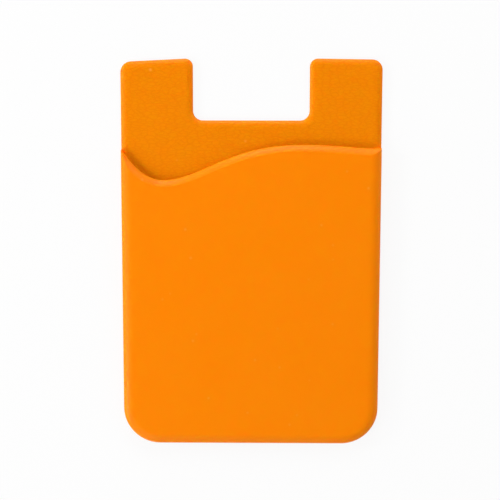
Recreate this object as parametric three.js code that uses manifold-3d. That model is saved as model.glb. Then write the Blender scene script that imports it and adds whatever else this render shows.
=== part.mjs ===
/**
 * Stick-on phone card holder: a moulded silicone sleeve that carries bank cards on the back of a phone.
 *
 * It is three pieces, all flat and stacked: the moulded sleeve, the adhesive pad bonded to its
 * back, and the release liner that covers the adhesive until the holder is stuck down.
 *
 * Millimetres. The holder lies on its liner: +Z points out of the pocket's front face and +Y
 * towards the two lugs. The origin is the middle of the footprint, on the liner's underside.
 */
import * as THREE from "three";
import { mergeVertices } from "three/addons/utils/BufferGeometryUtils.js";
import Module from "manifold-3d";

// The card that the pocket holds, and the room it has
const cardWidth = 53.98;
const cardThickness = 0.76;
const cardSideClearance = 0.11;
const cardFaceClearance = 0.14;

// Walls of the moulding
const sideWall = 1.4;
const floorWall = 1.5;
const backWall = 1.0;
const frontWall = 1.1;

// Outline of the moulding, seen from the front
const sleeveLength = 86;
const bottomCornerRadius = 8.2;
const lugOuterRadius = 2.25;
const lugInnerRadius = 1.8;
const notchWidth = 25.4;
const notchDepth = 13.46;
const notchCornerRadius = 2.1;

// How far each lug's top edge drops between the notch and the side
const leftLugFall = 0.8;
const rightLugFall = 0.2;

// Round-over of the front edges: how far each reaches in from the outline
const plateEdgeInset = 1.1;
const pocketEdgeInset = 2.0;
const lipInset = 1.4;

// How deep the pocket's round-over goes, and the straight bit left under the plate's and the lip's
const pocketEdgeDepth = 1.4;
const plateEdgeFlat = 0.25;
const lipFlat = 0.2;

// The wave of the pocket's mouth: heights are above the bottom edge, distances are from the left side
const lipLeftHeight = 66.5;
const lipDipHeight = 59.57;
const lipDipFromLeft = 9.16;
const lipCrestHeight = 67.38;
const lipCrestFromLeft = 39.42;
const lipRightHeight = 66.6;

// How far the wave runs along its own direction before it turns, at each of those points
const lipLeftRun = 3.3;
const lipLeftLean = 2.2;
const lipDipRunLeft = 5.7;
const lipDipRunRight = 8.1;
const lipCrestRunLeft = 15.9;
const lipCrestRunRight = 9.0;
const lipRightRun = 7.2;

// Adhesive pad and release liner
const padInset = 3;
const padTopCornerRadius = 2;
const padThickness = 0.25;
const linerOverhang = 0.5;
const linerThickness = 0.1;
const pullTabWidth = 14;
const pullTabReach = 1.8;
const pullTabCornerRadius = 0.75;

// Facets: half the pieces in a corner's arc, pieces in each stretch of the wave, steps in a round-over
const arcFacets = 7;
const waveFacets = 26;
const edgeSteps = 6;

// How far a cutting or trimming shape stands past what it cuts
const cutMargin = 6;

// Sizes that follow from the ones above
const slotWidth = cardWidth + 2 * cardSideClearance;
const slotGap = cardThickness + cardFaceClearance;
const sleeveWidth = slotWidth + 2 * sideWall;
const sleeveThickness = backWall + slotGap + frontWall;
const plateEdgeDepth = backWall - plateEdgeFlat;
const lipDepth = frontWall - lipFlat;
const right = sleeveWidth / 2;
const left = -right;
const top = sleeveLength / 2;
const bottom = -top;
const notchFloor = top - notchDepth;

const manifold = await Module();
manifold.setup();

/** A closed outline with an arc at each corner. Corners are [x, y, radius], counter-clockwise. */
function roundedOutline(corners) {
  const outline = new THREE.Shape();
  corners.forEach(([x, y, radius], i) => {
    const corner = new THREE.Vector2(x, y);
    const [beforeX, beforeY] = corners.at(i - 1);
    const [afterX, afterY] = corners[(i + 1) % corners.length];
    const back = new THREE.Vector2(beforeX, beforeY).sub(corner).normalize();
    const ahead = new THREE.Vector2(afterX, afterY).sub(corner).normalize();
    const halfAngle = Math.acos(back.dot(ahead)) / 2;
    const turnsRight = back.cross(ahead) > 0;
    const bisector = back.clone().add(ahead).normalize();
    const centre = corner.clone().addScaledVector(bisector, radius / Math.sin(halfAngle));
    const arcStart = corner.clone().addScaledVector(back, radius / Math.tan(halfAngle));
    const arcEnd = corner.clone().addScaledVector(ahead, radius / Math.tan(halfAngle));
    const startAngle = arcStart.sub(centre).angle();
    const endAngle = arcEnd.sub(centre).angle();
    outline.absarc(centre.x, centre.y, radius, startAngle, endAngle, turnsRight);
  });
  outline.closePath();
  return outline;
}

/** The moulding's outline: round bottom corners, two lugs, and the thumb notch between them. */
function sleeveOutline() {
  const notchSide = notchWidth / 2;
  return roundedOutline([
    [left, bottom, bottomCornerRadius],
    [right, bottom, bottomCornerRadius],
    [right, top - rightLugFall, lugOuterRadius],
    [notchSide, top, lugInnerRadius],
    [notchSide, notchFloor, notchCornerRadius],
    [-notchSide, notchFloor, notchCornerRadius],
    [-notchSide, top, lugInnerRadius],
    [left, top - leftLugFall, lugOuterRadius],
  ]);
}

/** Two straight sides and round bottom corners, running up past where the mouth is cut. */
function openTopOutline(side, floor, cornerRadius) {
  const pastMouth = top + cutMargin;
  return roundedOutline([
    [-side, floor, cornerRadius],
    [side, floor, cornerRadius],
    [side, pastMouth, cornerRadius],
    [-side, pastMouth, cornerRadius],
  ]);
}

/** All that lies below the wave of the mouth. Its other sides stand clear of the moulding. */
function belowLipOutline() {
  const dipX = left + lipDipFromLeft;
  const dipY = bottom + lipDipHeight;
  const crestX = left + lipCrestFromLeft;
  const crestY = bottom + lipCrestHeight;
  const leftY = bottom + lipLeftHeight;
  const rightY = bottom + lipRightHeight;
  const farLeft = left - 2 * cutMargin;
  const outline = new THREE.Shape();
  outline.moveTo(farLeft, bottom - cutMargin);
  outline.lineTo(right + cutMargin, bottom - cutMargin);
  outline.lineTo(right + cutMargin, rightY);
  outline.lineTo(right, rightY);
  outline.bezierCurveTo(right - lipRightRun, rightY, crestX + lipCrestRunRight, crestY, crestX, crestY);
  outline.bezierCurveTo(crestX - lipCrestRunLeft, crestY, dipX + lipDipRunRight, dipY, dipX, dipY);
  outline.bezierCurveTo(dipX - lipDipRunLeft, dipY, left + lipLeftLean, leftY - lipLeftRun, left, leftY);
  outline.lineTo(left - lipLeftLean * (cutMargin / lipLeftRun), leftY + cutMargin);
  outline.lineTo(farLeft, leftY + cutMargin);
  outline.closePath();
  return outline;
}

/** The pad's outline, and with an overhang the liner's: it follows the moulding and stops below the notch. */
function padCorners(overhang) {
  const inset = padInset - overhang;
  const bottomRadius = bottomCornerRadius - inset;
  const topRadius = padTopCornerRadius + overhang;
  return [
    [left + inset, bottom + inset, bottomRadius],
    [right - inset, bottom + inset, bottomRadius],
    [right - inset, notchFloor - inset, topRadius],
    [left + inset, notchFloor - inset, topRadius],
  ];
}

/** The liner's outline: the pad's with an overhang, and a pull tab on its top edge. */
function linerOutline() {
  const tabSide = pullTabWidth / 2;
  const corners = padCorners(linerOverhang);
  const linerTop = corners[2][1];
  const tab = [
    [tabSide, linerTop, pullTabCornerRadius],
    [tabSide, linerTop + pullTabReach, pullTabCornerRadius],
    [-tabSide, linerTop + pullTabReach, pullTabCornerRadius],
    [-tabSide, linerTop, pullTabCornerRadius],
  ];
  return roundedOutline([...corners.slice(0, 3), ...tab, corners[3]]);
}

/** A flat-topped, flat-bottomed slab of an outline, from one height to another. */
function slab(outline, lowZ, highZ) {
  const options = { depth: highZ - lowZ, bevelEnabled: false, curveSegments: arcFacets };
  const geometry = new THREE.ExtrudeGeometry(outline, options);
  geometry.translate(0, 0, lowZ);
  return geometry;
}

/** A slab whose upper edge is rounded over. It runs on below the moulding's back, to be trimmed there. */
function roundedSlab(outline, highZ, inset, depth, curveFacets) {
  const options = {
    depth: highZ,
    bevelEnabled: true,
    bevelThickness: depth,
    bevelSize: inset,
    bevelOffset: -inset,
    bevelSegments: edgeSteps,
    curveSegments: curveFacets,
  };
  const geometry = new THREE.ExtrudeGeometry(outline, options);
  geometry.translate(0, 0, -depth);
  return geometry;
}

/** A solid that can be joined and cut, from a closed geometry. */
function toSolid(geometry) {
  const bare = geometry.clone();
  bare.deleteAttribute("normal");
  bare.deleteAttribute("uv");
  const welded = mergeVertices(bare);
  const mesh = new manifold.Mesh({
    numProp: 3,
    vertProperties: Float32Array.from(welded.attributes.position.array),
    triVerts: Uint32Array.from(welded.index.array),
  });
  return new manifold.Manifold(mesh);
}

/** The geometry of a finished solid, with flat facets. */
function toGeometry(solid) {
  const mesh = solid.getMesh();
  const geometry = new THREE.BufferGeometry();
  geometry.setAttribute("position", new THREE.BufferAttribute(mesh.vertProperties, 3));
  geometry.setIndex(new THREE.BufferAttribute(mesh.triVerts, 1));
  geometry.computeVertexNormals();
  return geometry;
}

/** The moulding: a back plate with lugs, a raised pocket under the wave-shaped lip, and the card slot. */
function sleeveGeometry() {
  const front = sleeveThickness;
  const blockOutline = openTopOutline(right, bottom, bottomCornerRadius);
  const slotOutline = openTopOutline(slotWidth / 2, bottom + floorWall, bottomCornerRadius - sideWall);
  const plate = toSolid(roundedSlab(sleeveOutline(), backWall, plateEdgeInset, plateEdgeDepth, arcFacets));
  const block = toSolid(roundedSlab(blockOutline, front, pocketEdgeInset, pocketEdgeDepth, arcFacets));
  const belowLip = toSolid(roundedSlab(belowLipOutline(), front, lipInset, lipDepth, waveFacets));
  const slot = toSolid(slab(slotOutline, backWall, backWall + slotGap));
  const trim = new THREE.BoxGeometry(sleeveWidth + cutMargin, sleeveLength + cutMargin, cutMargin);
  trim.translate(0, 0, -cutMargin / 2);
  const pocket = block.intersect(belowLip);
  return toGeometry(plate.add(pocket).subtract(slot).subtract(toSolid(trim)));
}

/** One named piece of the holder, at its height above the surface it lies on. */
function piece(name, geometry, height, material) {
  const mesh = new THREE.Mesh(geometry, material);
  mesh.name = name;
  mesh.position.z = height;
  return mesh;
}

const silicone = new THREE.MeshStandardMaterial({ color: 0xf68708, roughness: 0.55, metalness: 0 });
const adhesive = new THREE.MeshStandardMaterial({ color: 0xdfe2dc, roughness: 0.35, metalness: 0 });
const linerPaper = new THREE.MeshStandardMaterial({ color: 0xf1efe6, roughness: 0.6, metalness: 0 });

const padGeometry = slab(roundedOutline(padCorners(0)), 0, padThickness);
const linerGeometry = slab(linerOutline(), 0, linerThickness);
const padHeight = linerThickness;
const sleeveHeight = padHeight + padThickness;

const holder = new THREE.Group();
holder.name = "phone_card_holder";
holder.add(piece("sleeve", sleeveGeometry(), sleeveHeight, silicone));
holder.add(piece("adhesive_pad", padGeometry, padHeight, adhesive));
holder.add(piece("release_liner", linerGeometry, 0, linerPaper));

export default holder;
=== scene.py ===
"""Dresses the stick-on phone card holder: a moulded silicone sleeve, its adhesive pad and its release liner.

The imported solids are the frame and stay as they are. The sleeve is modelled again here, finer, over its own
solid, and the pad and liner keep their solids and get their real finishes.
"""

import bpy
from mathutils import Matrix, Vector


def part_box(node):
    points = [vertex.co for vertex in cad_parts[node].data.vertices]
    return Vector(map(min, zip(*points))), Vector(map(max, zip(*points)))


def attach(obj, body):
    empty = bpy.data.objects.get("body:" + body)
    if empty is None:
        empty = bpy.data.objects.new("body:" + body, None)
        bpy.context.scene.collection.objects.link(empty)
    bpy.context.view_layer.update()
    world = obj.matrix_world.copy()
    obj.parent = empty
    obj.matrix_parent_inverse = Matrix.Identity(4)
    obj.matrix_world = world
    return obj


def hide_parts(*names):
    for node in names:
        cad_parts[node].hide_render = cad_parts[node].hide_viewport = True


bl_info = {
    "name": "Phone card holder",
    "version": (1, 0, 0),
    "blender": (4, 5, 0),
    "location": "3D View > Sidebar > Card Holder",
    "description": "Models and finishes a moulded silicone card sleeve with a wave-shaped mouth",
    "category": "Object",
}

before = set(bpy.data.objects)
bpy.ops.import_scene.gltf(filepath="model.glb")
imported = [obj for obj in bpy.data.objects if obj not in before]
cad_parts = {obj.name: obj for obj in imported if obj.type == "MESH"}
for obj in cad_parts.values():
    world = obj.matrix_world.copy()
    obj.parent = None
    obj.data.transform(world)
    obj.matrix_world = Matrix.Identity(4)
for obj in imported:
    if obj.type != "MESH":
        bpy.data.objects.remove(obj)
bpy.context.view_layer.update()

import math

import bmesh
import bpy
from mathutils import Euler, Vector

MM = 0.001
SLEEVE_LOW, SLEEVE_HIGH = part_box("sleeve")

# Segments in a bottom corner and in a small one, steps in a round-over, points in each stretch of the wave
CORNER_SEGMENTS = 24
SMALL_SEGMENTS = 12
ROUND_STEPS = 10
WAVE_RESOLUTION = 40

# How far a cutting shape stands past what it cuts, and the gap that keeps faces out of one plane
PAST = 6 * MM
HAIR = 0.01 * MM

# How close a vertex has to be to count as in its place, and a face to count as part of the top
NEAR = 0.01 * MM
SAME_HEIGHT = 0.001 * MM

# The groove behind the lip's crease: how far from the crease it is deepest, and how far off it ends
GROOVE_DEEPEST = 0.2 * MM
GROOVE_END = 0.8 * MM

# Edges flatter than these are dissolved: those left by the cuts through the plate, and those along the wave
PLATE_FLATNESS = math.radians(1)
WAVE_FLATNESS = math.radians(0.01)

# Edges flatter than this are shaded smooth
SMOOTH_BELOW = math.radians(35)


# Properties that a user would change

def length(name, description, millimetres):
    """A length property, given in millimetres and held in metres."""
    return bpy.props.FloatProperty(
        name=name, description=description, default=millimetres * MM, unit="LENGTH", precision=5
    )


def share(name, description, value):
    """A property from 0 to 1."""
    return bpy.props.FloatProperty(
        name=name, description=description, default=value, min=0.0, max=1.0, subtype="FACTOR"
    )


def linear(hex_colour):
    """The linear red, green and blue of an sRGB hex colour such as "f98705"."""
    channels = [int(hex_colour[i:i + 2], 16) / 255 for i in (0, 2, 4)]
    return tuple(c / 12.92 if c <= 0.04045 else ((c + 0.055) / 1.055) ** 2.4 for c in channels)


def colour(name, description, hex_colour):
    """A colour property, given in sRGB and held in linear values."""
    return bpy.props.FloatVectorProperty(
        name=name, description=description, default=linear(hex_colour), subtype="COLOR", min=0.0, max=1.0
    )


class SleeveShape(bpy.types.PropertyGroup):
    """Sizes of the silicone moulding."""

    body_length: length("Length", "From the bottom edge to the top of the lugs", 86)
    back_wall: length("Back wall", "Thickness of the plate behind the cards", 1.0)
    slot_gap: length("Slot gap", "Room between the back plate and the pocket's front wall", 0.9)
    side_wall: length("Side wall", "Thickness of the pocket's side walls", 1.4)
    floor_wall: length("Floor wall", "Thickness of the wall under the cards", 1.5)
    bottom_radius: length("Bottom corner", "Radius of the two bottom corners", 8.2)
    lug_outer_radius: length("Lug outer corner", "Radius of the lugs' outer corners", 2.25)
    lug_inner_radius: length("Lug inner corner", "Radius of the lugs' corners beside the notch", 1.8)
    left_lug_fall: length("Left lug fall", "How far the left lug's top drops towards the side", 0.8)
    right_lug_fall: length("Right lug fall", "How far the right lug's top drops towards the side", 0.2)
    notch_width: length("Notch width", "Width of the thumb notch between the lugs", 25.4)
    notch_depth: length("Notch depth", "Depth of the thumb notch from the top of the lugs", 13.46)
    notch_radius: length("Notch corner", "Radius of the thumb notch's bottom corners", 2.1)
    plate_inset: length("Plate edge inset", "How far the plate's round-over reaches in", 1.6)
    plate_depth: length("Plate edge depth", "How deep the plate's round-over goes", 0.75)
    pocket_inset: length("Pocket edge inset", "How far the pocket's round-over reaches in", 2.5)
    pocket_depth: length("Pocket edge depth", "How deep the pocket's round-over goes", 1.4)
    lip_depth: length("Lip depth", "How deep the lip's rounding and band go", 1.04)
    lip_radius: length("Lip radius", "Radius of the lip's outer edge", 0.4)
    lip_shoulder: bpy.props.FloatProperty(
        name="Lip shoulder", description="Slope of the lip's band where it leaves the outer edge",
        default=math.radians(41), unit="ROTATION"
    )
    lip_slope: bpy.props.FloatProperty(
        name="Lip slope", description="Slope of the lip's band where it meets its crease",
        default=math.radians(18), unit="ROTATION"
    )
    groove_depth: length("Groove depth", "Depth of the shallow groove behind the lip's crease", 0.045)


class LipWave(bpy.types.PropertyGroup):
    """The wave of the pocket's mouth: heights above the bottom edge, distances from the left side."""

    left_height: length("Left height", "Where the lip meets the left side", 66.1)
    left_run: length("Left run", "How far the lip runs down before it turns, at the left side", 1.4)
    left_lean: length("Left lean", "How far that run leans inwards", 1.35)
    dip_height: length("Dip height", "Lowest place of the lip", 59.57)
    dip_place: length("Dip place", "Distance of the dip from the left side", 9.16)
    dip_run_left: length("Dip run left", "Level run on the left of the dip", 4.6)
    dip_run_right: length("Dip run right", "Level run on the right of the dip", 8.1)
    crest_height: length("Crest height", "Highest place of the lip", 67.38)
    crest_place: length("Crest place", "Distance of the crest from the left side", 39.42)
    crest_run_left: length("Crest run left", "Level run on the left of the crest", 15.9)
    crest_run_right: length("Crest run right", "Level run on the right of the crest", 9.0)
    right_height: length("Right height", "Where the lip meets the right side", 66.6)
    right_run: length("Right run", "Level run of the lip at the right side", 7.2)


class Finish(bpy.types.PropertyGroup):
    """Colours and surface of the three materials."""

    silicone: colour("Silicone", "Pigment of the moulded silicone", "fb8602")
    silicone_hazy: colour("Silicone haze", "Where the skin is a little hazier", "fc8806")
    # Painted shade: the plate's whole face is coloured darker than the pocket, for the shade in its fine
    # grain
    plate_painted_shade: colour("Silicone of the plate", "Pigment of the plate's grained face", "ee8902")
    # Painted shade: the grain's furrows are coloured deeper, for the shade that falls into them
    furrow_painted_shade: colour("Silicone in the grain", "Pigment in the furrows of the grain", "ea8102")
    dust: colour("Dust", "Specks of dust on the skin", "ffa040")
    silicone_roughness: share("Silicone roughness", "0 is a mirror and 1 is chalk", 0.34)
    grain_width: length("Grain width", "Width of one cell of the leather grain", 1.6)
    grain_height: length("Grain height", "Height of one cell of the leather grain", 0.62)
    grain_depth: length("Grain depth", "Depth of the grain's furrows", 0.024)
    adhesive: colour("Adhesive", "Milky tint of the acrylic adhesive", "e3e6df")
    adhesive_thin: colour("Thin adhesive", "Tint where the film is a little thinner", "d6dad2")
    air: colour("Air pockets", "Tint of the tiny air pockets in the film", "f4f5f2")
    paper: colour("Liner paper", "Tint of the coated release paper", "f5f3ea")
    paper_shade: colour("Liner fibres", "Tint of the fibre clouds in the paper", "e4e0d2")


class Studio(bpy.types.PropertyGroup):
    """Camera and light."""

    tilt: bpy.props.FloatProperty(
        name="Camera tilt", description="Lean of the camera towards the lugs, from straight above",
        default=math.radians(9.28), unit="ROTATION"
    )
    turn: bpy.props.FloatProperty(
        name="Camera turn", description="Lean of the camera towards the right side",
        default=math.radians(0.54), unit="ROTATION"
    )
    roll: bpy.props.FloatProperty(
        name="Camera roll", description="Turn of the picture about its own middle",
        default=math.radians(0.1), unit="ROTATION"
    )
    distance: length("Camera distance", "From the lens to the sleeve's middle", 311.0)
    aim_across: length("Aim across", "Where the camera looks, right of the middle", -0.23)
    aim_up: length("Aim up", "Where the camera looks, towards the lugs", 0.84)
    lens: bpy.props.FloatProperty(
        name="Focal length", description="Focal length of the lens, on a 36 mm wide sensor",
        default=100.93, unit="CAMERA"
    )
    floor: colour("Floor", "Colour of the studio floor", "e6e6e6")
    key_power: bpy.props.FloatProperty(
        name="Key lights", description="Power of the narrow lights at the left", default=1.0, unit="POWER"
    )
    soft_power: bpy.props.FloatProperty(
        name="Soft lights", description="Power of the wide lights all round", default=1.0, unit="POWER"
    )
    ceiling: share("Ceiling", "How bright the studio's ceiling is", 0.03)


# Small helpers for modelling

def deselect_all():
    """Leaves edit mode and selects nothing."""
    if bpy.context.object and bpy.context.object.mode == "EDIT":
        bpy.ops.object.mode_set(mode="OBJECT")
    bpy.ops.object.select_all(action="DESELECT")


def make_active(obj):
    """Selects one object alone and makes it active."""
    deselect_all()
    obj.select_set(True)
    bpy.context.view_layer.objects.active = obj


def pick(obj, kind, test):
    """In edit mode, selects only the verts, edges or faces of obj that pass the test."""
    bpy.ops.mesh.select_mode(type=kind[:-1].upper())
    bpy.ops.mesh.select_all(action="DESELECT")
    mesh = bmesh.from_edit_mesh(obj.data)
    found = [item for item in getattr(mesh, kind) if test(item)]
    for item in found:
        item.select_set(True)
    bmesh.update_edit_mesh(obj.data)
    if not found:
        raise RuntimeError(f"{obj.name}: none of its {kind} is where it should be")


def at(x, y):
    """A test for a vertex that stands at this place, seen from the front."""
    return lambda vertex: abs(vertex.co.x - x) < NEAR and abs(vertex.co.y - y) < NEAR


def round_corner(obj, x, y, radius, segments):
    """Rounds the corner of a flat outline that stands at this place."""
    pick(obj, "verts", at(x, y))
    bpy.ops.mesh.bevel(affect="VERTICES", offset=radius, segments=segments, profile=0.5)


def flat_sheet(name, left, right, bottom, top, height):
    """A flat rectangle to cut an outline from, active and in edit mode."""
    deselect_all()
    bpy.ops.mesh.primitive_plane_add(size=1, location=((left + right) / 2, (bottom + top) / 2, height))
    sheet = bpy.context.object
    sheet.name = name
    sheet.scale = (right - left, top - bottom, 1)
    bpy.ops.object.transform_apply(location=True, rotation=True, scale=True)
    bpy.ops.object.mode_set(mode="EDIT")
    return sheet


def raise_outline(obj, height):
    """Turns a flat outline into a slab: its face climbs by height and leaves walls and a bottom."""
    bpy.ops.mesh.select_all(action="SELECT")
    bpy.ops.mesh.extrude_region_move(TRANSFORM_OT_translate={"value": (0, 0, height)})
    bpy.ops.mesh.select_all(action="SELECT")
    bpy.ops.mesh.normals_make_consistent(inside=False)


def quarter_ellipse(inset, depth):
    """A round-over as (reach, climb) pairs, upright at its foot and level at its top."""
    angles = [step / ROUND_STEPS * math.pi / 2 for step in range(1, ROUND_STEPS + 1)]
    return [(inset * (1 - math.cos(angle)), depth * math.sin(angle)) for angle in angles]


def lip_profile(shape):
    """The lip as (reach, climb) pairs: a tight round, a band that eases off, a crease and a groove."""
    last = math.pi / 2 - shape.lip_shoulder
    angles = [step / ROUND_STEPS * last for step in range(1, ROUND_STEPS + 1)]
    edge = shape.lip_radius
    profile = [(edge * (1 - math.cos(angle)), edge * math.sin(angle)) for angle in angles]
    reach, climb = profile[-1]
    radius = (shape.lip_depth - climb) / (math.cos(shape.lip_slope) - math.cos(shape.lip_shoulder))
    for step in range(1, ROUND_STEPS + 1):
        slope = shape.lip_shoulder + (shape.lip_slope - shape.lip_shoulder) * step / ROUND_STEPS
        across = radius * (math.sin(shape.lip_shoulder) - math.sin(slope))
        up = radius * (math.cos(slope) - math.cos(shape.lip_shoulder))
        profile.append((reach + across, climb + up))
    crease = profile[-1][0]
    profile.append((crease + GROOVE_DEEPEST, shape.lip_depth - shape.groove_depth))
    profile.append((crease + GROOVE_END, shape.lip_depth))
    return profile


def round_over(obj, profile):
    """Climbs from the slab's flat top along a profile, one narrow ring at a time."""
    top = max(vertex.co.z for vertex in bmesh.from_edit_mesh(obj.data).verts)
    pick(obj, "faces", lambda face: face.calc_center_median().z > top - SAME_HEIGHT)
    reached = 0.0
    climbed = 0.0
    for reach, climb in profile:
        bpy.ops.mesh.inset(thickness=reach - reached, depth=climb - climbed, use_even_offset=True)
        reached = reach
        climbed = climb


def combine(obj, other, operation):
    """Joins, cuts or intersects obj with other, and removes other."""
    make_active(obj)
    modifier = obj.modifiers.new("combine", "BOOLEAN")
    modifier.operation = operation
    modifier.solver = "EXACT"
    modifier.object = other
    bpy.ops.object.modifier_apply(modifier=modifier.name)
    bpy.data.objects.remove(other)


def loose_edges(obj):
    """How many edges don't join two faces. A closed mesh has none."""
    mesh = bmesh.new()
    mesh.from_mesh(obj.data)
    loose = sum(not edge.is_manifold for edge in mesh.edges)
    mesh.free()
    return loose


# Small helpers for materials

# The Mix node's colour sockets, which share their names with its other sockets
MIX_COLOUR_A = 6
MIX_COLOUR_B = 7
MIX_COLOUR_RESULT = 2


def add_node(tree, kind, inputs=None, **settings):
    """Adds a shader node. inputs maps socket names or numbers to values or to other nodes' outputs."""
    node = tree.nodes.new(kind)
    for setting, value in settings.items():
        setattr(node, setting, value)
    for socket, value in (inputs or {}).items():
        if isinstance(value, bpy.types.NodeSocket):
            tree.links.new(value, node.inputs[socket])
        else:
            node.inputs[socket].default_value = value
    return node


def new_material(name):
    """An empty node material and its output node."""
    material = bpy.data.materials.new(name)
    material.use_nodes = True
    material.node_tree.nodes.clear()
    output = material.node_tree.nodes.new("ShaderNodeOutputMaterial")
    return material, material.node_tree, output


def mixed_colour(tree, factor, first, second):
    """A mix of two colours, each a colour value or another node's output."""
    node = add_node(tree, "ShaderNodeMix", {"Factor": factor}, data_type="RGBA")
    for socket, value in ((MIX_COLOUR_A, first), (MIX_COLOUR_B, second)):
        if isinstance(value, bpy.types.NodeSocket):
            tree.links.new(value, node.inputs[socket])
        else:
            node.inputs[socket].default_value = (*value, 1)
    return node.outputs[MIX_COLOUR_RESULT]


# Materials

# The grain's furrows: the size of their bends, how far a bend shifts them, and their share of a cell
GRAIN_WAVER = 1.1 * MM
GRAIN_SHIFT = 0.9 * MM
FURROW_SHARE = 0.24

# The grain fades out between these heights over the plate's face, and between these depths down its edge
GRAIN_OVER = (0.02 * MM, 0.05 * MM)
GRAIN_UNDER = (0.05 * MM, 0.3 * MM)

# It also fades out where the surface turns from the front: its normal's share of up, bare and grained
GRAIN_LOOKS_UP = (0.5, 0.8)

# The haze is centimetres wide, and varies the gloss by this much to each side
HAZE_SIZE = 14 * MM
GLOSS_SPREAD = 0.05

# A speck of dust: its spacing, the shares of that which its middle and its rim take, and how much it covers
DUST_SPACING = 4.5 * MM
DUST_MIDDLE = 0.04
DUST_RIM = 0.1
DUST_COVER = 0.5

# The skin's own unevenness is finer than a pixel, so it is drawn as coarse as it needs to show
SKIN_SIZE = 0.35 * MM
SKIN_DEPTH = 0.01 * MM

# Ripples that the coating roll leaves in the adhesive
RIPPLE_SIZE = 0.8 * MM
RIPPLE_DEPTH = 0.02 * MM

# An air pocket in the adhesive, in the same terms as a speck of dust
AIR_SPACING = 3.5 * MM
AIR_MIDDLE = 0.1
AIR_RIM = 0.16
AIR_COVER = 0.6

# Fibre clouds of the liner's paper, and the part of the noise's range that they use
FIBRE_WIDTH = 1.6 * MM
FIBRE_LENGTH = 5 * MM
FIBRE_DEPTH = 0.01 * MM
FIBRE_LOW = 0.3
FIBRE_HIGH = 0.7


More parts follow.
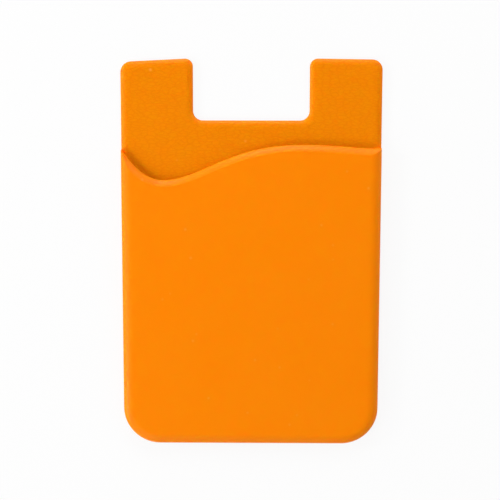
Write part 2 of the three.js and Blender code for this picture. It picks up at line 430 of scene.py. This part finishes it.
def moulded_silicone(finish, shape):
    """Silicone rubber pressed in a mould: a satin skin over a body in which light sinks in and spreads red.

    The mould carries a leather grain only where it forms the back plate's face: flat cells with thin wavy
    furrows. Painted shade darkens that face a little and its furrows more. The pocket is smooth, with a faint
    haze and a few specks of dust.
    """
    material, tree, output = new_material("silicone_moulded_orange")
    coordinates = add_node(tree, "ShaderNodeTexCoord")
    place = coordinates.outputs["Object"]

    # Furrows: the edges of cells, set out from their real width and height, on coordinates that waver
    waver = add_node(tree, "ShaderNodeTexNoise", {"Vector": place, "Scale": 1 / GRAIN_WAVER, "Detail": 1.0})
    wavering = add_node(
        tree, "ShaderNodeVectorMath", {0: waver.outputs["Color"], 1: (GRAIN_SHIFT,) * 3, 2: place},
        operation="MULTIPLY_ADD",
    ).outputs["Vector"]
    cells = add_node(
        tree, "ShaderNodeMapping",
        {"Vector": wavering, "Scale": (1 / finish.grain_width, 1 / finish.grain_height, 1)},
    ).outputs["Vector"]
    to_edge = add_node(
        tree, "ShaderNodeTexVoronoi", {"Vector": cells, "Scale": 1.0, "Randomness": 1.0},
        voronoi_dimensions="2D", feature="DISTANCE_TO_EDGE",
    ).outputs["Distance"]
    furrow = add_node(
        tree, "ShaderNodeMapRange",
        {"Value": to_edge, "From Min": 0.0, "From Max": FURROW_SHARE, "To Min": 1.0, "To Max": 0.0},
        interpolation_type="SMOOTHSTEP",
    ).outputs["Result"]

    # The grain lies only on the plate's face: up to its own height, and where the surface looks up
    plate_top = SLEEVE_LOW.z + shape.back_wall
    height = add_node(tree, "ShaderNodeSeparateXYZ", {"Vector": place}).outputs["Z"]
    under_lip = add_node(
        tree, "ShaderNodeMapRange",
        {"Value": height, "From Min": plate_top + GRAIN_OVER[0], "From Max": plate_top + GRAIN_OVER[1],
         "To Min": 1.0, "To Max": 0.0},
    ).outputs["Result"]
    over_edge = add_node(
        tree, "ShaderNodeMapRange",
        {"Value": height, "From Min": plate_top - GRAIN_UNDER[1], "From Max": plate_top - GRAIN_UNDER[0]},
    ).outputs["Result"]
    up = add_node(tree, "ShaderNodeSeparateXYZ", {"Vector": coordinates.outputs["Normal"]}).outputs["Z"]
    looks_up = add_node(
        tree, "ShaderNodeMapRange",
        {"Value": up, "From Min": GRAIN_LOOKS_UP[0], "From Max": GRAIN_LOOKS_UP[1]},
    ).outputs["Result"]
    in_band = add_node(
        tree, "ShaderNodeMath", {0: under_lip, 1: over_edge}, operation="MULTIPLY"
    ).outputs["Value"]
    on_plate = add_node(
        tree, "ShaderNodeMath", {0: in_band, 1: looks_up}, operation="MULTIPLY"
    ).outputs["Value"]
    furrow_on_plate = add_node(
        tree, "ShaderNodeMath", {0: furrow, 1: on_plate}, operation="MULTIPLY"
    ).outputs["Value"]

    # Haze over a centimetre across, and a speck of dust under half a millimetre every few millimetres
    haze = add_node(
        tree, "ShaderNodeTexNoise",
        {"Vector": place, "Scale": 1 / HAZE_SIZE, "Detail": 4.0, "Roughness": 0.6},
    ).outputs["Fac"]
    dust = add_node(
        tree, "ShaderNodeTexVoronoi", {"Vector": place, "Scale": 1 / DUST_SPACING, "Randomness": 1.0},
        feature="F1",
    ).outputs["Distance"]
    speck = add_node(
        tree, "ShaderNodeMapRange",
        {"Value": dust, "From Min": DUST_MIDDLE, "From Max": DUST_RIM, "To Min": DUST_COVER, "To Max": 0.0},
    ).outputs["Result"]
    skin_noise = add_node(
        tree, "ShaderNodeTexNoise", {"Vector": place, "Scale": 1 / SKIN_SIZE, "Detail": 2.0}
    ).outputs["Fac"]

    body = mixed_colour(tree, haze, finish.silicone, finish.silicone_hazy)
    # Painted shade over the whole face of the plate
    plate = mixed_colour(tree, on_plate, body, finish.plate_painted_shade)
    # Painted shade in the furrows, laid into the colour
    grained = mixed_colour(tree, furrow_on_plate, plate, finish.furrow_painted_shade)
    pigment_and_painted_shade = mixed_colour(tree, speck, grained, finish.dust)
    rough = finish.silicone_roughness
    gloss = add_node(
        tree, "ShaderNodeMapRange",
        {"Value": haze, "To Min": rough - GLOSS_SPREAD, "To Max": rough + GLOSS_SPREAD},
    ).outputs["Result"]
    skin = add_node(
        tree, "ShaderNodeBump", {"Height": skin_noise, "Strength": 0.25, "Distance": SKIN_DEPTH}
    ).outputs["Normal"]
    bump = add_node(
        tree, "ShaderNodeBump",
        {"Height": furrow_on_plate, "Strength": 1.0, "Distance": finish.grain_depth, "Normal": skin},
        invert=True,
    ).outputs["Normal"]
    rubber = add_node(
        tree, "ShaderNodeBsdfPrincipled",
        {"Base Color": pigment_and_painted_shade, "Roughness": gloss, "IOR": 1.41, "Specular IOR Level": 0.11, "Normal": bump,
         "Subsurface Weight": 0.5, "Subsurface Radius": (1.0, 0.2, 0.05), "Subsurface Scale": 1.3 * MM},
    )
    tree.links.new(rubber.outputs["BSDF"], output.inputs["Surface"])
    return material


def acrylic_adhesive(finish):
    """Acrylic adhesive film, cast between two liners: milky and a little see-through, with a wet gloss.

    Fine ripples from the coating roll break the gloss, and a few tiny air pockets show as whiter spots.
    """
    material, tree, output = new_material("acrylic_adhesive_milky")
    place = add_node(tree, "ShaderNodeTexCoord").outputs["Object"]
    ripple = add_node(
        tree, "ShaderNodeTexNoise", {"Vector": place, "Scale": 1 / RIPPLE_SIZE, "Detail": 2.0}
    ).outputs["Fac"]
    from_pocket = add_node(
        tree, "ShaderNodeTexVoronoi", {"Vector": place, "Scale": 1 / AIR_SPACING, "Randomness": 1.0},
        feature="F1",
    ).outputs["Distance"]
    air = add_node(
        tree, "ShaderNodeMapRange",
        {"Value": from_pocket, "From Min": AIR_MIDDLE, "From Max": AIR_RIM,
         "To Min": AIR_COVER, "To Max": 0.0},
        interpolation_type="SMOOTHSTEP",
    ).outputs["Result"]
    milk = mixed_colour(tree, ripple, finish.adhesive, finish.adhesive_thin)
    tint = mixed_colour(tree, air, milk, finish.air)
    bump = add_node(
        tree, "ShaderNodeBump", {"Height": ripple, "Strength": 0.4, "Distance": RIPPLE_DEPTH}
    ).outputs["Normal"]
    film = add_node(
        tree, "ShaderNodeBsdfPrincipled",
        {"Base Color": tint, "Roughness": 0.25, "IOR": 1.47, "Normal": bump,
         "Subsurface Weight": 0.5, "Subsurface Radius": (1.0, 1.0, 1.0), "Subsurface Scale": 0.3 * MM},
    )
    tree.links.new(film.outputs["BSDF"], output.inputs["Surface"])
    return material


def coated_release_paper(finish):
    """Glassine release paper with a silicone coat: smooth and faintly glossy.

    Its pressed fibres show as soft clouds drawn out along the web, glossier where they lie closer.
    """
    material, tree, output = new_material("release_paper_coated")
    place = add_node(tree, "ShaderNodeTexCoord").outputs["Object"]
    along_web = add_node(
        tree, "ShaderNodeMapping",
        {"Vector": place, "Scale": (1 / FIBRE_WIDTH, 1 / FIBRE_LENGTH, 1 / FIBRE_WIDTH)},
    ).outputs["Vector"]
    fibre = add_node(
        tree, "ShaderNodeTexNoise", {"Vector": along_web, "Scale": 1.0, "Detail": 6.0, "Roughness": 0.7}
    ).outputs["Fac"]
    cloud = add_node(
        tree, "ShaderNodeMapRange", {"Value": fibre, "From Min": FIBRE_LOW, "From Max": FIBRE_HIGH}
    ).outputs["Result"]
    tint = mixed_colour(tree, cloud, finish.paper_shade, finish.paper)
    gloss = add_node(
        tree, "ShaderNodeMapRange",
        {"Value": fibre, "From Min": FIBRE_LOW, "From Max": FIBRE_HIGH, "To Min": 0.36, "To Max": 0.5},
    ).outputs["Result"]
    bump = add_node(
        tree, "ShaderNodeBump", {"Height": fibre, "Strength": 0.3, "Distance": FIBRE_DEPTH}
    ).outputs["Normal"]
    sheet = add_node(
        tree, "ShaderNodeBsdfPrincipled",
        {"Base Color": tint, "Roughness": gloss, "IOR": 1.5, "Normal": bump},
    )
    tree.links.new(sheet.outputs["BSDF"], output.inputs["Surface"])
    return material


# Shapes

def back_plate(shape, low, right, bottom, top):
    """The plate behind the cards, with its two lugs, the thumb notch and a rounded front edge."""
    left = -right
    notch_side = shape.notch_width / 2
    notch_floor = top - shape.notch_depth
    plate = flat_sheet("back_plate", left, right, bottom, top, low)
    for x in (-notch_side, notch_side):
        bpy.ops.mesh.select_all(action="SELECT")
        bpy.ops.mesh.bisect(plane_co=(x, 0, 0), plane_no=(1, 0, 0))
    bpy.ops.mesh.select_all(action="SELECT")
    bpy.ops.mesh.bisect(plane_co=(0, notch_floor, 0), plane_no=(0, 1, 0))
    pick(plate, "faces", lambda face: abs(face.calc_center_median().x) < notch_side
         and face.calc_center_median().y > notch_floor)
    bpy.ops.mesh.delete(type="FACE")
    bpy.ops.mesh.select_all(action="SELECT")
    bpy.ops.mesh.dissolve_limited(angle_limit=PLATE_FLATNESS)
    for x, fall in ((left, shape.left_lug_fall), (right, shape.right_lug_fall)):
        pick(plate, "verts", at(x, top))
        bpy.ops.transform.translate(value=(0, -fall, 0))
    corners = [
        (left, bottom, shape.bottom_radius - HAIR, CORNER_SEGMENTS),
        (right, bottom, shape.bottom_radius - HAIR, CORNER_SEGMENTS),
        (left, top - shape.left_lug_fall, shape.lug_outer_radius, SMALL_SEGMENTS),
        (right, top - shape.right_lug_fall, shape.lug_outer_radius, SMALL_SEGMENTS),
        (-notch_side, top, shape.lug_inner_radius, SMALL_SEGMENTS),
        (notch_side, top, shape.lug_inner_radius, SMALL_SEGMENTS),
        (-notch_side, notch_floor, shape.notch_radius, SMALL_SEGMENTS),
        (notch_side, notch_floor, shape.notch_radius, SMALL_SEGMENTS),
    ]
    for x, y, radius, segments in corners:
        round_corner(plate, x, y, radius, segments)
    raise_outline(plate, shape.back_wall - shape.plate_depth)
    round_over(plate, quarter_ellipse(shape.plate_inset, shape.plate_depth))
    return plate


def open_top_slab(name, side, floor, past_mouth, radius, low, height):
    """A slab with straight sides and round bottom corners, whose top edge lies past the mouth."""
    slab = flat_sheet(name, -side, side, floor, past_mouth, low)
    round_corner(slab, -side, floor, radius, CORNER_SEGMENTS)
    round_corner(slab, side, floor, radius, CORNER_SEGMENTS)
    raise_outline(slab, height)
    return slab


def wave_curve(wave, left, right, bottom, height):
    """Draws the wave of the lip as a curve and leaves it active."""
    deselect_all()
    bpy.ops.curve.primitive_bezier_curve_add(location=(0, 0, 0))
    curve = bpy.context.object.data
    curve.dimensions = "3D"
    curve.resolution_u = WAVE_RESOLUTION
    spline = curve.splines[0]
    left_y = bottom + wave.left_height
    dip = (left + wave.dip_place, bottom + wave.dip_height)
    crest = (left + wave.crest_place, bottom + wave.crest_height)
    right_y = bottom + wave.right_height
    knots = [
        ((left, left_y), (left - wave.left_lean, left_y + wave.left_run),
         (left + wave.left_lean, left_y - wave.left_run)),
        (dip, (dip[0] - wave.dip_run_left, dip[1]), (dip[0] + wave.dip_run_right, dip[1])),
        (crest, (crest[0] - wave.crest_run_left, crest[1]), (crest[0] + wave.crest_run_right, crest[1])),
        ((right, right_y), (right - wave.right_run, right_y), (right + wave.right_run, right_y)),
    ]
    spline.bezier_points.add(len(knots) - len(spline.bezier_points))
    for point, (here, before, after) in zip(spline.bezier_points, knots):
        point.handle_left_type = "FREE"
        point.handle_right_type = "FREE"
        point.co = (*here, height)
        point.handle_left = (*before, height)
        point.handle_right = (*after, height)


def below_lip(shape, wave, low, height, left, right, bottom):
    """All that lies below the wave, with the lip's edge. Its other sides stand clear of the sleeve."""
    under = low - PAST
    wave_curve(wave, left, right, bottom, under)
    bpy.ops.object.convert(target="MESH")
    block = bpy.context.object
    block.name = "below_lip"
    bpy.ops.object.mode_set(mode="EDIT")
    left_y = bottom + wave.left_height
    right_y = bottom + wave.right_height
    pick(block, "verts", at(left, left_y))
    step = (-wave.left_lean * PAST / wave.left_run, PAST, 0)
    bpy.ops.mesh.extrude_region_move(TRANSFORM_OT_translate={"value": step})
    bpy.ops.mesh.extrude_region_move(TRANSFORM_OT_translate={"value": (-PAST, 0, 0)})
    pick(block, "verts", at(right, right_y))
    bpy.ops.mesh.extrude_region_move(TRANSFORM_OT_translate={"value": (PAST, 0, 0)})
    bpy.ops.mesh.select_all(action="SELECT")
    fall = wave.left_height + 2 * PAST
    bpy.ops.mesh.extrude_region_move(TRANSFORM_OT_translate={"value": (0, -fall, 0)})
    bpy.ops.mesh.select_all(action="SELECT")
    bpy.ops.mesh.dissolve_limited(angle_limit=WAVE_FLATNESS)
    raise_outline(block, PAST + height - shape.lip_depth)
    round_over(block, lip_profile(shape))
    return block


def moulded_sleeve(shape, wave):
    """The whole moulding: back plate, pocket under its lip, and the card slot, as one closed mesh."""
    right = SLEEVE_HIGH.x
    left = SLEEVE_LOW.x
    bottom = SLEEVE_LOW.y
    top = bottom + shape.body_length
    low = SLEEVE_LOW.z
    thickness = SLEEVE_HIGH.z - low
    plate = back_plate(shape, low, right - HAIR, bottom + HAIR, top - HAIR)
    pocket = open_top_slab(
        "pocket", right, bottom, top + PAST, shape.bottom_radius, low + HAIR,
        thickness - shape.pocket_depth - HAIR,
    )
    round_over(pocket, quarter_ellipse(shape.pocket_inset, shape.pocket_depth))
    lip = below_lip(shape, wave, low, thickness, left, right, bottom)
    slot = open_top_slab(
        "slot", right - shape.side_wall, bottom + shape.floor_wall, top + PAST,
        shape.bottom_radius - shape.side_wall, low + shape.back_wall + HAIR, shape.slot_gap - HAIR,
    )
    combine(pocket, lip, "INTERSECT")
    combine(plate, pocket, "UNION")
    combine(plate, slot, "DIFFERENCE")
    return plate


# Operators

class CARD_OT_sleeve(bpy.types.Operator):
    """Models the silicone sleeve over its solid and gives it its finish"""

    bl_idname = "card_holder.sleeve"
    bl_label = "Moulded sleeve"

    def execute(self, context):
        settings = context.scene.card_holder
        sleeve = moulded_sleeve(settings.shape, settings.wave)
        sleeve.name = "sleeve_moulding"
        make_active(sleeve)
        loose = loose_edges(sleeve)
        if loose:
            raise RuntimeError(f"the sleeve isn't closed: {loose} edges don't join two faces")
        bpy.ops.object.shade_smooth_by_angle(angle=SMOOTH_BELOW)
        weighted = sleeve.modifiers.new("even_shading", "WEIGHTED_NORMAL")
        weighted.keep_sharp = True
        bpy.ops.object.modifier_apply(modifier=weighted.name)
        sleeve.data.materials.clear()
        sleeve.data.materials.append(moulded_silicone(settings.finish, settings.shape))
        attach(sleeve, "root")
        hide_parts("sleeve")
        return {"FINISHED"}


class CARD_OT_backing(bpy.types.Operator):
    """Gives the adhesive pad and the release liner their finishes"""

    bl_idname = "card_holder.backing"
    bl_label = "Adhesive pad and liner"

    def execute(self, context):
        finish = context.scene.card_holder.finish
        finishes = {
            "adhesive_pad": acrylic_adhesive(finish),
            "release_liner": coated_release_paper(finish),
        }
        for node, material in finishes.items():
            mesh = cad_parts[node].data
            mesh.materials.clear()
            mesh.materials.append(material)
        return {"FINISHED"}


class CARD_OT_stage(bpy.types.Operator):
    """Sets the pale floor, the soft light and the camera"""

    bl_idname = "card_holder.stage"
    bl_label = "Floor, light and camera"

    def execute(self, context):
        studio = context.scene.card_holder.studio
        floor_and_world(studio)
        lamps(studio)
        context.scene.camera = camera(studio)
        context.scene.view_settings.view_transform = "Standard"
        return {"FINISHED"}


# Stage

# The floor's size in metres, and the share of its white that the camera gets whatever falls on it
FLOOR_SIZE = 4
FLOOR_LIFT = 0.9

# The floor lies this much above the liner's underside, because two faces in one plane render as blotches
FLOOR_RISE = 0.02 * MM

# The white walls end 30 degrees up, where a look at them has this share of up, and fade over this much
WALL_TOP = 0.5
WALL_FADE = 0.1

# All lamps stand this far from the middle of the floor, in metres
LAMP_DISTANCE = 0.7

# The width that the focal length goes with, in millimetres, and the nearest that the camera sees, in metres
SENSOR_WIDTH = 36
CLIP_START = 0.01


def seen_directly(tree):
    """1 for what the camera sees straight, in a mirror or through glass, and 0 for light on its way."""
    path = add_node(tree, "ShaderNodeLightPath")
    straight = path.outputs["Is Camera Ray"]
    mirrored = path.outputs["Is Glossy Ray"]
    through = path.outputs["Is Transmission Ray"]
    either = add_node(
        tree, "ShaderNodeMath", {0: straight, 1: mirrored}, operation="MAXIMUM"
    ).outputs["Value"]
    return add_node(tree, "ShaderNodeMath", {0: either, 1: through}, operation="MAXIMUM").outputs["Value"]


def floor_and_world(studio):
    """A large pale floor that keeps the holder's shadow, white walls all round and a dim ceiling."""
    deselect_all()
    bpy.ops.mesh.primitive_plane_add(size=FLOOR_SIZE, location=(0, 0, FLOOR_RISE))
    floor = bpy.context.object
    floor.name = "studio_floor"
    material, tree, output = new_material("studio_floor_white")
    matt = add_node(tree, "ShaderNodeBsdfDiffuse", {"Color": (*studio.floor, 1)}).outputs["BSDF"]
    glow = add_node(
        tree, "ShaderNodeEmission", {"Color": (1, 1, 1, 1), "Strength": 1.0}
    ).outputs["Emission"]
    lift = add_node(
        tree, "ShaderNodeMath", {0: seen_directly(tree), 1: FLOOR_LIFT}, operation="MULTIPLY"
    ).outputs["Value"]
    both = add_node(tree, "ShaderNodeMixShader", {0: lift, 1: matt, 2: glow}).outputs["Shader"]
    tree.links.new(both, output.inputs["Surface"])
    floor.data.materials.append(material)

    world = bpy.data.worlds.new("studio_world")
    world.use_nodes = True
    tree = world.node_tree
    tree.nodes.clear()
    way = add_node(tree, "ShaderNodeTexCoord").outputs["Generated"]
    rise = add_node(tree, "ShaderNodeSeparateXYZ", {"Vector": way}).outputs["Z"]
    level = add_node(
        tree, "ShaderNodeMapRange",
        {"Value": rise, "From Min": WALL_TOP, "From Max": WALL_TOP + WALL_FADE,
         "To Min": 1.0, "To Max": studio.ceiling},
        interpolation_type="SMOOTHSTEP",
    ).outputs["Result"]
    light = add_node(
        tree, "ShaderNodeBackground", {"Color": (1, 1, 1, 1), "Strength": level}
    ).outputs["Background"]
    output = add_node(tree, "ShaderNodeOutputWorld")
    tree.links.new(light, output.inputs["Surface"])
    bpy.context.scene.world = world


def lamp(name, azimuth, elevation, width, power):
    """A square area lamp that looks at the sleeve. Azimuth 0 is the +X side and 90 the +Y side."""
    across = math.radians(azimuth)
    up = math.radians(elevation)
    away = Vector((math.cos(across) * math.cos(up), math.sin(across) * math.cos(up), math.sin(up)))
    data = bpy.data.lights.new(name, "AREA")
    data.size = width
    data.energy = power
    obj = bpy.data.objects.new(name, data)
    obj.location = away * LAMP_DISTANCE
    obj.rotation_euler = away.to_track_quat("Z", "Y").to_euler()
    bpy.context.scene.collection.objects.link(obj)


def lamps(studio):
    """Two narrow keys low at the left, and wide soft lights at all four sides."""
    lamp("left_key_upper", 165, 24, 0.12, 1.8 * studio.key_power)
    lamp("left_key_lower", 205, 24, 0.12, 0.9 * studio.key_power)
    lamp("left_soft", 205, 40, 0.24, 0.95 * studio.soft_power)
    lamp("bottom_soft", 250, 40, 0.24, 0.6 * studio.soft_power)
    lamp("right_soft", 45, 40, 0.3, 0.85 * studio.soft_power)
    lamp("lug_low", 95, 20, 0.3, 0.68 * studio.soft_power)
    lamp("lug_soft", 95, 32, 0.3, 1.75 * studio.soft_power)


def camera(studio):
    """The camera above the holder, leaning a little towards the lugs."""
    data = bpy.data.cameras.new("camera")
    data.lens = studio.lens
    data.sensor_width = SENSOR_WIDTH
    data.clip_start = CLIP_START
    obj = bpy.data.objects.new("camera", data)
    obj.rotation_mode = "ZXY"
    obj.rotation_euler = Euler((-studio.tilt, studio.turn, studio.roll), "ZXY")
    back = obj.rotation_euler.to_matrix() @ Vector((0, 0, 1))
    aim = Vector((studio.aim_across, studio.aim_up, SLEEVE_LOW.z))
    obj.location = aim + back * studio.distance
    bpy.context.scene.collection.objects.link(obj)
    return obj


# Panel and registration

class CardHolderSettings(bpy.types.PropertyGroup):
    """Everything about the holder that a user would change."""

    shape: bpy.props.PointerProperty(name="Shape", description="Sizes of the moulding", type=SleeveShape)
    wave: bpy.props.PointerProperty(name="Wave", description="The wave of the mouth", type=LipWave)
    finish: bpy.props.PointerProperty(name="Finish", description="Colours and surfaces", type=Finish)
    studio: bpy.props.PointerProperty(name="Studio", description="Camera and light", type=Studio)


class CARD_PT_panel(bpy.types.Panel):
    """Lists the holder's pieces, in the order in which they are made"""

    bl_label = "Card Holder"
    bl_idname = "CARD_PT_panel"
    bl_space_type = "VIEW_3D"
    bl_region_type = "UI"
    bl_category = "Card Holder"

    def draw(self, context):
        for operator in OPERATORS:
            self.layout.operator(operator.bl_idname)
        settings = context.scene.card_holder
        for group in (settings.shape, settings.wave, settings.finish, settings.studio):
            box = self.layout.box()
            for name in group.__annotations__:
                box.prop(group, name)


OPERATORS = (CARD_OT_sleeve, CARD_OT_backing, CARD_OT_stage)
CLASSES = (SleeveShape, LipWave, Finish, Studio, CardHolderSettings, *OPERATORS, CARD_PT_panel)


def register():
    for cls in CLASSES:
        bpy.utils.register_class(cls)
    bpy.types.Scene.card_holder = bpy.props.PointerProperty(type=CardHolderSettings)


def unregister():
    del bpy.types.Scene.card_holder
    for cls in reversed(CLASSES):
        bpy.utils.unregister_class(cls)


def main():
    """Makes every piece and the stage."""
    register()
    bpy.ops.card_holder.sleeve()
    bpy.ops.card_holder.backing()
    bpy.ops.card_holder.stage()


if __name__ == "__main__":
    main()
